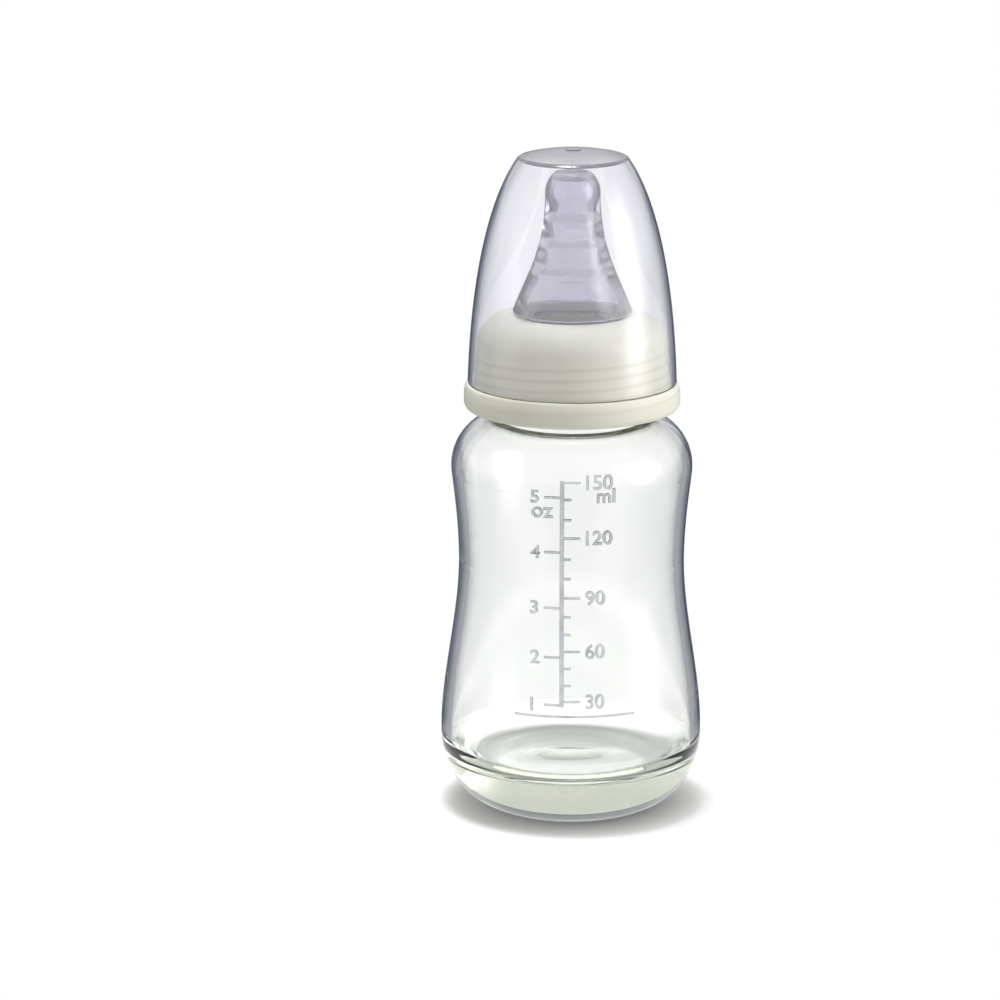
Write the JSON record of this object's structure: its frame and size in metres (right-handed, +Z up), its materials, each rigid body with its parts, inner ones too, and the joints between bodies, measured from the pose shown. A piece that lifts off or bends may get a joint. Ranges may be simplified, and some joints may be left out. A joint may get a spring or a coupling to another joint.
{
  "type": "baby bottle",
  "caption": "Waisted glass baby bottle with a silicone teat on its lip, a screw ring that holds the teat down and a clear push-on hood.",
  "frame": {"origin": "centre of the bottle's foot, on the surface it stands on", "axes": "+Z up along the bottle's axis, and -Y towards the side with the measuring scale"},
  "size_m": [0.063, 0.063, 0.1597],
  "materials": {
    "bottle": "clear polished glass",
    "teat": "clear silicone, glossy",
    "screw_ring": "milky off-white moulded plastic",
    "hood": "clear moulded plastic with a faint lavender tint"
  },
  "bodies": {
    "bottle": {"bottle": "bottle"},
    "teat": {"teat": "teat"},
    "screw_ring": {"screw_ring": "screw_ring"},
    "hood": {"hood": "hood"}
  },
  "joints": [
    {"name": "teat_rise", "type": "slide", "parent": "bottle", "child": "teat", "axis": [0, 0, 1], "range_m": [0, 0.01251]},
    {"name": "ring_turn", "type": "hinge", "parent": "teat", "child": "screw_ring", "pos_m": [0, 0, 0.109], "axis": [0, 0, 1], "range_deg": [0, 900]},
    {"name": "hood_pull", "type": "slide", "parent": "screw_ring", "child": "hood", "axis": [0, 0, 1], "range_m": [0, 0.055]}
  ],
  "couplings": [
    {"joint": "teat_rise", "follows": "ring_turn", "m_per_rad": 0.00079577}
  ]
}
